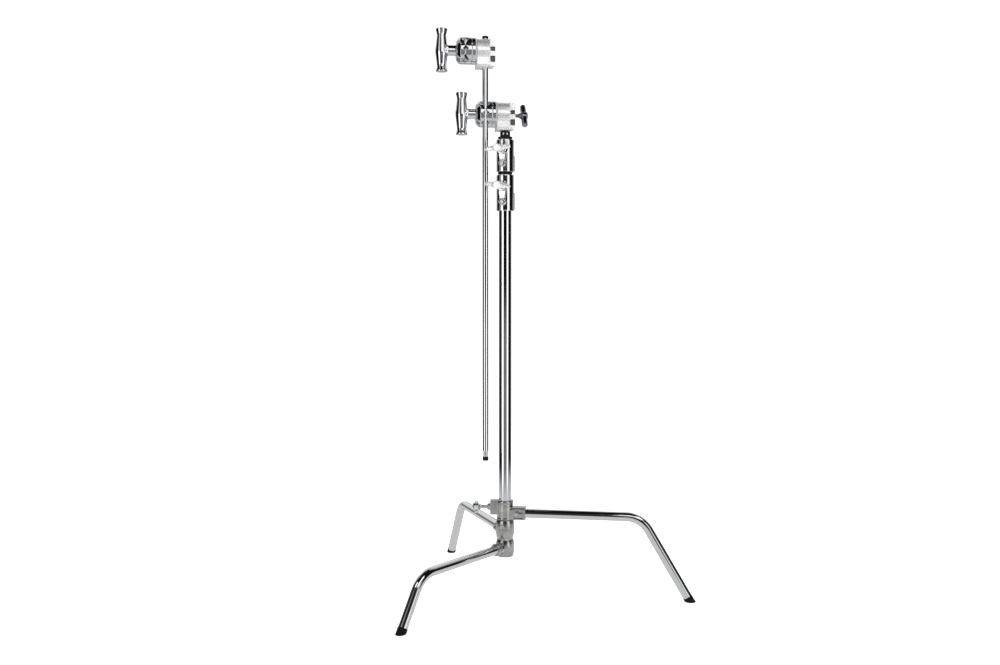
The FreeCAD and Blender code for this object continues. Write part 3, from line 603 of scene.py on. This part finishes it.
def sliding_bracket():
    _, leg_z, _, azimuth = TOP_LEG
    low, high = BRACKET_BOTTOM, BRACKET_TOP
    sleeve = [(0, low), (22.2, low), (23.6, low + 1.3), (23.6, low + 4.2), (22.9, low + 5.1),
              (22.9, high - 8.5), (23.6, high - 7.5), (23.6, high - 2.5), (21.8, high), (0, high)]
    body = lathe(sleeve, "Z", 160)
    arm = slab(0, 58, -BRACKET_HALF, BRACKET_HALF, leg_z - 17.5, leg_z + 17.5, 6.0)
    pockets = []
    for side in (-1, 1):
        outer = side * (BRACKET_HALF + 0.6)
        inner = side * 15.2
        for z0, z1 in ((218.0, 228.3), (233.7, 244.0)):
            pockets.append(slab(27, 54, min(inner, outer), max(inner, outer), z0, z1, 2.2, "Y"))
    arm = carve(arm, pockets)
    for side in (-1, 1):
        arm = union(arm, cross_rod(8.0, side, BRACKET_HALF, 0.5, (CROSS_BOLT_X, 0, leg_z)))
    moved(arm, azimuth)
    ear = slab(0, 42, -12, 12, high - 40, high, 3.0, "Y")
    boss = rod(9.0, 0, 50, "X", 1.0, at=(0, 0, LEG_LOCK_Z))
    lip = rod(10.2, 40, 45, "X", 1.0, at=(0, 0, LEG_LOCK_Z))
    ear = moved(union(ear, boss, lip), LEG_LOCK_AZIMUTH)
    body = union(body, arm, ear)
    cuts = [rod(LINER_R, -FAR, FAR), tube_hole(leg_z, azimuth),
            moved(rod(SCREW_R + SLIP, 0, FAR, "X", at=(0, 0, LEG_LOCK_Z)), LEG_LOCK_AZIMUTH)]
    place(cast(carve(body, cuts), 0.8, 6), "sliding_leg_bracket")


# Lock screws and collars
def thread(start, end):
    """Threaded rod along X, cut as close-set grooves."""
    root = SCREW_R - THREAD_DEPTH
    outline = [(0, start), (root, start)]
    for k in range(int((end - start) / THREAD_PITCH)):
        z = start + k * THREAD_PITCH
        outline += [(root, z + THREAD_PITCH * 0.12), (SCREW_R, z + THREAD_PITCH * 0.42),
                    (SCREW_R, z + THREAD_PITCH * 0.58), (root, z + THREAD_PITCH * 0.88)]
    outline += [(root, end), (0, end)]
    return lathe(outline, "X", 48)


def t_bar(centre, tip):
    """Cross bar along Y with its hub, tapering from its middle to the tip radius."""
    wing = [(tip, 1.4 - T_BAR_HALF), (tip * 0.7 + 2.8, -28), (tip * 0.4 + 5.4, -16), (9.0, -6)]
    side = curve_through(wing + [(9.2, 0)] + [(r, -y) for r, y in reversed(wing)], 5)
    flat = tip - 1.3
    outline = [(0, -T_BAR_HALF), (flat, -T_BAR_HALF)] + side + [(flat, T_BAR_HALF), (0, T_BAR_HALF)]
    bar = lathe(outline, "Y", 64)
    moved(bar, at=(centre, 0, 0))
    hub_line = [(0, centre - 15), (6.4, centre - 15, 0.8), (7.2, centre - 11), (11.0, centre - 6, 2.0),
                (11.0, centre + 8, 1.5), (8.6, centre + 10, 1.0), (0, centre + 10)]
    return union(bar, lathe(rounded(hub_line), "X", 64))


def lock_screw(node, start, reach, azimuth, height, roll, at=COLUMN, tip=3.9):
    """T screw whose thread begins at start and whose cross bar is centred at reach."""
    screw = joined(cast(t_bar(reach, tip), 0.55, 8), thread(start, reach - 14.5))
    moved(screw, azimuth, roll)
    moved(screw, at=(0, 0, height))
    place(screw, node, at=at)


def socket_bolt(node, at_r, azimuth, height):
    """Pair of cap screws across a collar, each with a hexagon recess."""
    bolts = []
    for turn in (0, 180):
        outline = [(0, at_r), (3.2, at_r), (3.2, 26.0), (5.6, 26.0, 0.3), (5.6, 30.0, 0.6), (4.4, 31.5, 0.4),
                   (0, 31.5)]
        bolt = carve(lathe(rounded(outline), "X", 64), [hexagon(5.0, 29.2, 33.0, 0.0001)])
        bolts.append(moved(bolt, azimuth + turn, at=(0, 0, height)))
    place(joined(*bolts), node)


def collar(name, outer_r, inner_r, bottom, top, tube_top, lock_z, bolt_z, roll):
    """Collar casting with its cap screws, black ring and T screw."""
    outline = [(0, bottom), (COLLAR_R, bottom, 1.2), (COLLAR_R, top, 2.6), (0, top)]
    body = lathe(rounded(outline), "Z", 160)
    boss = lathe(rounded([(0, 0), (13.5, 0), (13.5, 33.0, 0.8), (12.0, 34.5, 0.6), (0, 34.5)]), "X", 96)
    moved(boss, LOCK_AZIMUTH, at=(0, 0, lock_z))
    bolt_boss = rod(COLLAR_BOLT_BOSS_R, -COLLAR_BOLT_BOSS_HALF, COLLAR_BOLT_BOSS_HALF, "X", 0.8)
    moved(bolt_boss, LOCK_AZIMUTH, at=(0, 0, bolt_z))
    web = [(-11.5, lock_z), (11.5, lock_z), (6.5, bolt_z), (-6.5, bolt_z)]
    web = moved(prism(web, 12, 26.2, "X"), LOCK_AZIMUTH)
    rib = slab(0, 26.6, -7, 7, bottom + 2, (bottom + top) / 2, 1.5, "X")
    moved(rib, -8)
    body = union(body, boss, bolt_boss, web, rib)
    cuts = [rod(outer_r, -FAR + bottom, tube_top), rod(inner_r + SLIP, -FAR, 2000),
            moved(rod(SCREW_R + SLIP, 0, FAR, "X"), LOCK_AZIMUTH, at=(0, 0, lock_z))]
    for turn in (0, 180):
        recess = rod(COLLAR_BOLT_RECESS_R, COLLAR_BOLT_RECESS_X, FAR, "X")
        cuts.append(moved(recess, LOCK_AZIMUTH + turn, at=(0, 0, bolt_z)))
    place(cast(carve(body, cuts), 0.8, 5), name + "_collar")
    socket_bolt(name + "_collar_bolts", outer_r - 1.5, LOCK_AZIMUTH, bolt_z)
    ring_top = top + COLLAR_RING_HEIGHT
    ring = [(inner_r + SLIP, top), (COLLAR_RING_R, top, 0.3), (COLLAR_RING_R, ring_top, 1.0),
            (inner_r + SLIP, ring_top, 0.4)]
    place(lathe(rounded(ring), "Z", 128), name + "_collar_ring")
    lock_screw(name + "_collar_lock", inner_r + 4.35, 65.0, LOCK_AZIMUTH, lock_z, roll)


def column_top():
    for row in COLLARS:
        collar(*row)
    lock_screw("leg_lock_screw", 23.05, 81.0, LEG_LOCK_AZIMUTH, LEG_LOCK_Z, -12)
    cap = [(0, CAP_BOTTOM), (13.8, CAP_BOTTOM, 0.4), (13.8, CAP_TOP, 1.5), (0, CAP_TOP)]
    cap = carve(lathe(rounded(cap), "Z", 128), [rod(RISER_2_R, 0, RISER_2_TOP), rod(STUD_R, 0, 2000)])
    place(cap, "stud_cap")
    rivets = []
    for azimuth in (-117, -73, 63, 107):
        rivet = [(0, 12.8), (1.8, 12.8), (1.8, 13.6), (3.3, 13.6, 0.2), (3.0, 14.5, 0.3), (1.6, 14.9),
                 (0, 14.9)]
        rivets.append(moved(lathe(rounded(rivet), "X", 48), azimuth, at=(0, 0, (CAP_BOTTOM + CAP_TOP) / 2)))
    place(joined(*rivets), "stud_cap_rivets")


# Grip heads
def v_cut(rod_radius, start, end, plane, shift=0.0, upright=True):
    """V groove cutter with its rod's axis in the plane X = plane."""
    depth = (rod_radius + SLIP) * math.sqrt(2)
    diamond = [(-depth, 0), (0, depth), (depth, 0), (0, -depth)]
    cutter = prism(diamond, start, end)
    if upright:
        cutter.data.transform(Matrix.Rotation(math.pi / 2, 4, "X"))
        return moved(cutter, at=(plane, shift, 0))
    return moved(cutter, at=(plane, 0, shift))


def jaw_cuts(plane):
    """The five V grooves of a jaw, for rods of five sizes."""
    return [v_cut(STUD_R, -FAR, FAR, plane, 23.0), v_cut(4.76, -FAR, FAR, plane, -23.0),
            v_cut(4.76, -FAR, FAR, plane, -27.0, False), v_cut(3.18, -FAR, FAR, plane, 27.0, False),
            v_cut(6.35, 14, FAR, plane, 0.0, False)]


def head(name, gap, origin):
    """One grip head. The handle is along +X here and turned to -X when placed."""
    def put(obj, piece):
        place(obj, name + "_head_" + piece, azimuth=180, at=origin)

    plate = lathe(rounded([(0, -10), (DISC_R, -10, 1.2), (DISC_R, BASE_FACE, 1.2), (0, BASE_FACE)]), "X", 128)
    block = slab(-10, BASE_FACE, -BASE_HALF, BASE_HALF, -45, 0, 6.0)
    back = prism(rounded([(-26, -43, 9.0), (-10, -43), (-10, 32), (-26, 32, 10.0)], 8), -20, 20)
    foot_lip = slab(-8, BASE_FACE, -BASE_HALF, BASE_HALF, -45, -42.6, 0.8)
    body = union(plate, block, back, foot_lip)
    seam = pipe(31.6, 60.0, -10.7, -9.3, "X")
    cuts = [rod(STUD_R + SLIP, -FAR, FAR), rod(SPIGOT_R, 0, FAR, "X"), seam]
    for low, high in ((-1.5, 9.0), (-31.0, -15.5)):
        for side in (-20, 20):
            cuts.append(slab(-27, -12, side - 6, side + 6, low, high, 1.2, "Y"))
    if name == "lower":
        cuts.append(rod(SCREW_R + SLIP, -FAR, 0, "X", at=(0, 0, SET_SCREW_Z)))
    else:
        cuts += [rod(3.0, -FAR, 0, "X", at=(0, 0, z)) for z in (16.0, -16.0)]
    put(cast(carve(body, cuts), 0.8, 5), "base")

    washer = [(JAW_BORE, WASHER_START), (35.0, WASHER_START, 0.4), (35.0, BACKING_START, 0.4),
              (JAW_BORE, BACKING_START)]
    put(lathe(rounded(washer), "X", 128), "friction_washer")
    backing = [(JAW_BORE, BACKING_START, 0.3), (JAW_R, BACKING_START, 1.2), (JAW_R, BACKING_END, 1.2),
               (JAW_BORE, BACKING_END, 0.3)]
    put(lathe(rounded(backing), "X", 160), "backing_disc")

    inner_line = [(JAW_BORE, INNER_START), (JAW_R, INNER_START, 1.2), (JAW_R, INNER_FACE, 1.0),
                  (JAW_BORE, INNER_FACE)]
    inner = lathe(rounded(inner_line), "X", 160)
    put(cast(carve(inner, jaw_cuts(INNER_FACE + GROOVE_SHIFT)), 0.6, 4), "inner_jaw")
    face = INNER_FACE + gap
    seat = face + 22
    outer_line = [(JAW_BORE, face), (JAW_R, face, 1.0), (JAW_R, face + 13, 2.5), (27.0, seat, 1.2),
                  (16.0, seat, 0.4), (16.0, face + 20.5), (JAW_BORE, face + 20.5)]
    outer = lathe(rounded(outer_line), "X", 160)
    put(cast(carve(outer, jaw_cuts(face - GROOVE_SHIFT)), 0.6, 4), "outer_jaw")
    washer = [(JAW_BORE, seat - 1.5), (15.6, seat - 1.5, 0.3), (15.6, seat + 0.9, 0.3),
              (JAW_BORE, seat + 0.9)]
    put(lathe(rounded(washer), "X", 96), "thrust_washer")
    put(rod(SPIGOT_R, 9.5, seat + 30, "X", 0.8, segments=64), "bolt")
    put(head_handle(seat + 1.0), "handle")


def head_handle(start):
    """Waisted T handle whose hollow stem begins at start."""
    bar_x = start + 38.5
    half = HANDLE_HALF
    lower = [(16.2, -half + 2.2), (15.4, -half + 5.5), (13.3, -half + 14), (13.6, -half + 23), (15.6, -17),
             (17.0, -6)]
    profile = curve_through(lower + [(r, -z) for r, z in reversed(lower)], 6)
    ends = [(0, -half), (14.4, -half), (15.6, -half + 0.6)]
    grip = lathe(ends + profile + [(r, -z) for r, z in reversed(ends)], "Z", 128)
    for low, high in ((-half - 5, 0.8 - half), (half - 0.8, half + 5)):
        grip = carve(grip, [rod(11.0, low, high)])
    moved(grip, at=(bar_x, 0, 0))
    stem = lathe(rounded([(0, start), (14.9, start, 0.8), (14.2, start + 4, 1.0), (14.2, bar_x - 17, 3.0),
                          (15.0, bar_x - 12), (15.0, bar_x), (0, bar_x)]), "X", 128)
    grip = carve(union(grip, stem), [rod(6.1, start - 5, start + 34, "X")])
    return cast(grip, 0.7, 10)


def grip_arm():
    low, high = heights("arm_top_cap")
    top = [(0, low), (SPIGOT_R, low, 0.3), (SPIGOT_R, low + 12), (8.6, low + 12, 0.3), (8.6, high - 1.5, 0.8),
           (7.4, high, 0.5), (0, high)]
    place(lathe(rounded(top), "Z", 64), "arm_top_cap", at=ARM)
    place(rod(SPIGOT_R, 391, 451, "Z", 0.6, segments=64), "arm_end_stud", at=ARM)
    end = [(0, 384.5), (STUD_R, 384.5, 1.5), (STUD_R, 395, 1.2), (0, 395)]
    cap = carve(lathe(rounded(end), "Z", 64), [rod(SPIGOT_R, 391, 500, "Z", segments=64)])
    place(cap, "arm_end_cap", at=ARM)


straight_tubes()
legs()
hub()
sliding_bracket()
column_top()
head("lower", 1.83, LOWER_HEAD)
head("upper", 0.1, UPPER_HEAD)
grip_arm()
lock_screw("lower_head_screw", 11.35, 52.0, 0.0, SET_SCREW_Z, 55, at=LOWER_HEAD, tip=7.6)

for node, obj in frame["nodes"].items():
    if not obj.hide_render:
        obj.data.materials.clear()
        obj.data.materials.append(MATERIALS[SLOT_OF[node]])


# Floor, light and camera
VIEW_TURN = math.radians(8.0)
DARKNESS = 0.006
BACKDROP = 1.2
SENSOR = 36.0
FOCAL_PER_SENSOR = 1.0257
EYE_SHIFT = -14.24
EYE_DISTANCE = 2853.6
EYE_HEIGHT = 895.8
EYE_PITCH = math.radians(3.16)
RIGHT = Vector((math.cos(VIEW_TURN), -math.sin(VIEW_TURN), 0))
FORWARD = Vector((math.sin(VIEW_TURN), math.cos(VIEW_TURN), 0))


def studio_world():
    """Surroundings that light the metal: white strips at both sides, dim cards behind, darkness elsewhere."""
    world = bpy.data.worlds.new("studio")
    bpy.context.scene.world = world
    world.use_nodes = True
    n = Nodes(world.node_tree)
    direction = n.add("ShaderNodeTexCoord").outputs["Generated"]
    turned = n.add("ShaderNodeMapping", {"Vector": direction, "Rotation": (0, 0, math.pi / 2 + VIEW_TURN)},
                   vector_type="POINT").outputs[0]
    parts = n.add("ShaderNodeSeparateXYZ", {0: turned})
    around = n.math("MULTIPLY", n.math("ARCTAN2", parts.outputs[1], parts.outputs[0]), 180 / math.pi)
    above = n.math("MULTIPLY", n.math("ARCSINE", parts.outputs[2]), 180 / math.pi)
    side = n.math("ABSOLUTE", around)

    def band(value, low, high, soft):
        rise = n.remap(value, low - soft, low + soft, 0.0, 1.0, True)
        fall = n.remap(value, high - soft, high + soft, 1.0, 0.0, True)
        return n.math("MULTIPLY", rise, fall)

    # Angle measured, its range and softness, then the range of heights and its softness, then strength.
    panels = (
        (side, 31, 57, 4, -60, 6, 4, 1.9),
        (side, 31, 57, 4, 6, 34, 4, 0.75),
        (side, 30, 58, 4, 42, 58, 3, 2.4),
        (around, -30, -6, 4, 6, 38, 4, 0.03),
        (side, -1, 24, 5, -90, -2, 2, 0.2),
        (side, 118, 200, 12, -90, 56, 10, 0.14),
        (side, 138, 200, 8, -90, 50, 10, 0.24),
        (side, 112, 200, 10, 13, 62, 3, 0.42),
    )
    value = DARKNESS
    for angle, first, last, soft, low, high, blur, strength in panels:
        mask = n.math("MULTIPLY", band(angle, first, last, soft), band(above, low, high, blur))
        value = n.math("ADD", value, n.math("MULTIPLY", mask, strength))
    seen = n.add("ShaderNodeLightPath").outputs["Is Camera Ray"]
    unseen = n.math("MULTIPLY", value, n.math("SUBTRACT", 1.0, seen))
    value = n.math("ADD", unseen, n.math("MULTIPLY", seen, BACKDROP))
    shader = n.add("ShaderNodeBackground", {"Color": value, "Strength": 1.0})
    n.add("ShaderNodeOutputWorld", {"Surface": shader.outputs[0]})


def floor_disc(name, radius, height):
    bm = bmesh.new()
    bmesh.ops.create_circle(bm, cap_ends=True, radius=radius, segments=96)
    obj = add_object(bm, name)
    obj.location = Vector((0, 0, height))
    return obj


def floor():
    """White paper for the camera, and a dimmer card under it that is all the polished metal sees."""
    paper = floor_disc("floor", 3.2, -0.0005)
    paper.visible_glossy = False
    material = bpy.data.materials.new("floor_paper")
    material.use_nodes = True
    n = Nodes(material.node_tree)
    where = n.add("ShaderNodeTexCoord").outputs["Object"]
    speck = n.noise(where, 60.0, 4.0)
    tone = n.blend(speck, (0.80, 0.80, 0.80, 1), (0.86, 0.86, 0.86, 1))
    sockets = {"Base Color": tone, "Roughness": 0.9, "Specular IOR Level": 0.0,
               "Emission Color": (1, 1, 1, 1), "Emission Strength": 0.93}
    shader = n.add("ShaderNodeBsdfPrincipled", sockets)
    n.add("ShaderNodeOutputMaterial", {"Surface": shader.outputs[0]})
    paper.data.materials.append(material)

    card = floor_disc("floor_card", 2.2, -0.002)
    card.visible_camera = False
    card.visible_diffuse = False
    card.visible_shadow = False
    material = bpy.data.materials.new("floor_card")
    material.use_nodes = True
    n = Nodes(material.node_tree)
    where = n.add("ShaderNodeTexCoord").outputs["Object"]
    length = n.add("ShaderNodeVectorMath", {0: where}, operation="LENGTH").outputs["Value"]
    fade = n.remap(length, 1.2, 2.1, 0.0, 1.0, True)
    glow = n.add("ShaderNodeEmission", {"Color": (1, 1, 1, 1), "Strength": 0.66})
    clear = n.add("ShaderNodeBsdfTransparent")
    mix = n.add("ShaderNodeMixShader", {0: fade, 1: glow.outputs[0], 2: clear.outputs[0]})
    n.add("ShaderNodeOutputMaterial", {"Surface": mix.outputs[0]})
    card.data.materials.append(material)


def area_light(name, place_at, target, size, power, mirrored=False):
    light = bpy.data.lights.new(name, "AREA")
    light.shape = "RECTANGLE"
    light.size, light.size_y = size
    light.energy = power
    obj = bpy.data.objects.new(name, light)
    obj.location = place_at
    obj.rotation_euler = (Vector(target) - Vector(place_at)).to_track_quat("-Z", "Y").to_euler()
    obj.visible_glossy = mirrored
    bpy.context.scene.collection.objects.link(obj)


def lights():
    """Key, fill and top lights that the metal does not mirror, and a front panel that it does."""
    foot = COLUMN / 1000
    key_at = foot - 2.4 * FORWARD - 1.6 * RIGHT + Vector((0, 0, 2.3))
    area_light("key", key_at, (0, 0, 0.8), (1.6, 1.6), 40)
    fill_at = foot - 2.0 * FORWARD + 2.0 * RIGHT + Vector((0, 0, 1.4))
    area_light("fill", fill_at, (0, 0, 0.7), (1.4, 1.8), 20)
    area_light("top", foot + 0.8 * FORWARD + Vector((0, 0, 3.2)), (0, 0, 0.6), (2.0, 2.0), 20)
    panel_foot = foot - 2.5 * FORWARD + 0.6 * RIGHT
    panel_target = panel_foot + 2.5 * FORWARD + Vector((0, 0, 2.2))
    area_light("panel", panel_foot + Vector((0, 0, 2.35)), panel_target, (1.5, 1.5), 9, True)


def camera():
    cam = bpy.data.cameras.new("camera")
    cam.sensor_width = SENSOR
    cam.lens = FOCAL_PER_SENSOR * SENSOR
    obj = bpy.data.objects.new("camera", cam)
    eye = COLUMN + EYE_SHIFT * RIGHT - EYE_DISTANCE * FORWARD + Vector((0, 0, EYE_HEIGHT))
    obj.location = eye / 1000
    look = FORWARD * math.cos(EYE_PITCH) - Vector((0, 0, math.sin(EYE_PITCH)))
    obj.rotation_euler = look.to_track_quat("-Z", "Y").to_euler()
    bpy.context.scene.collection.objects.link(obj)
    bpy.context.scene.camera = obj


studio_world()
floor()
lights()
camera()
bpy.context.scene.view_settings.view_transform = "Standard"
